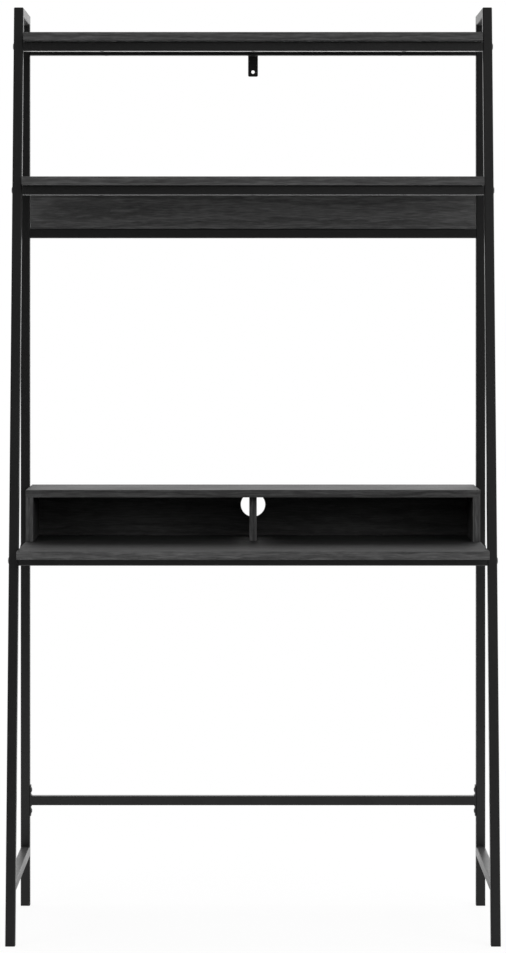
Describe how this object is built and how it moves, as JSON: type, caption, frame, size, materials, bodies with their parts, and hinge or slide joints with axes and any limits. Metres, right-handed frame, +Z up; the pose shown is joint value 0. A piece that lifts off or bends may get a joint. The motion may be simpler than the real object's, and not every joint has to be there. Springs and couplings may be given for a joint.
{
  "type": "ladder desk",
  "caption": "Tall leaning-frame desk: dark wood desk top with a low open cubby and a cable hole, shelves above it, on a black square-tube steel frame.",
  "frame": {"origin": "on the floor, under the middle of the overall box", "axes": "+Z up, -Y towards the person at the desk, +X to that person's right"},
  "size_m": [0.953, 0.469, 1.82],
  "materials": {
    "frame_steel": "black powder coat, fine texture, semi-matte",
    "board_wood": "charcoal oak-grain laminate, satin",
    "foot_plastic": "black moulded plastic, matte",
    "bolt_black": "black oxide, satin",
    "hidden_steel": "zinc-plated steel",
    "dowel_wood": "plain beech"
  },
  "bodies": {
    "root": {"left_front_leg": "frame_steel", "left_rear_leg": "frame_steel", "left_top_bar": "frame_steel", "left_lower_bar": "frame_steel", "right_front_leg": "frame_steel", "right_rear_leg": "frame_steel", "right_top_bar": "frame_steel", "right_lower_bar": "frame_steel", "top_shelf_front_rail": "frame_steel", "top_shelf_rear_rail": "frame_steel", "middle_shelf_front_rail": "frame_steel", "apron_rail": "frame_steel", "desk_front_rail": "frame_steel", "desk_rear_rail": "frame_steel", "rear_stretcher": "frame_steel", "left_stretcher_plate": "frame_steel", "right_stretcher_plate": "frame_steel", "wall_tab": "frame_steel", "top_shelf_panel": "board_wood", "middle_shelf_panel": "board_wood", "desk_panel": "board_wood", "apron_board": "board_wood", "cubby_back_panel": "board_wood", "cubby_top_panel": "board_wood", "cubby_left_side": "board_wood", "cubby_right_side": "board_wood", "cubby_divider": "board_wood", "left_front_foot": "foot_plastic", "left_rear_foot": "foot_plastic", "right_front_foot": "foot_plastic", "right_rear_foot": "foot_plastic", "frame_bolts": "bolt_black", "stretcher_bolts": "bolt_black", "cubby_base_screws": "bolt_black", "cubby_back_screws": "bolt_black", "rail_end_nuts": "hidden_steel", "slim_rail_nuts": "hidden_steel", "leg_weld_nuts": "hidden_steel", "rail_screws": "hidden_steel", "cubby_dowels": "dowel_wood", "apron_dowels": "dowel_wood"}
  },
  "joints": []
}
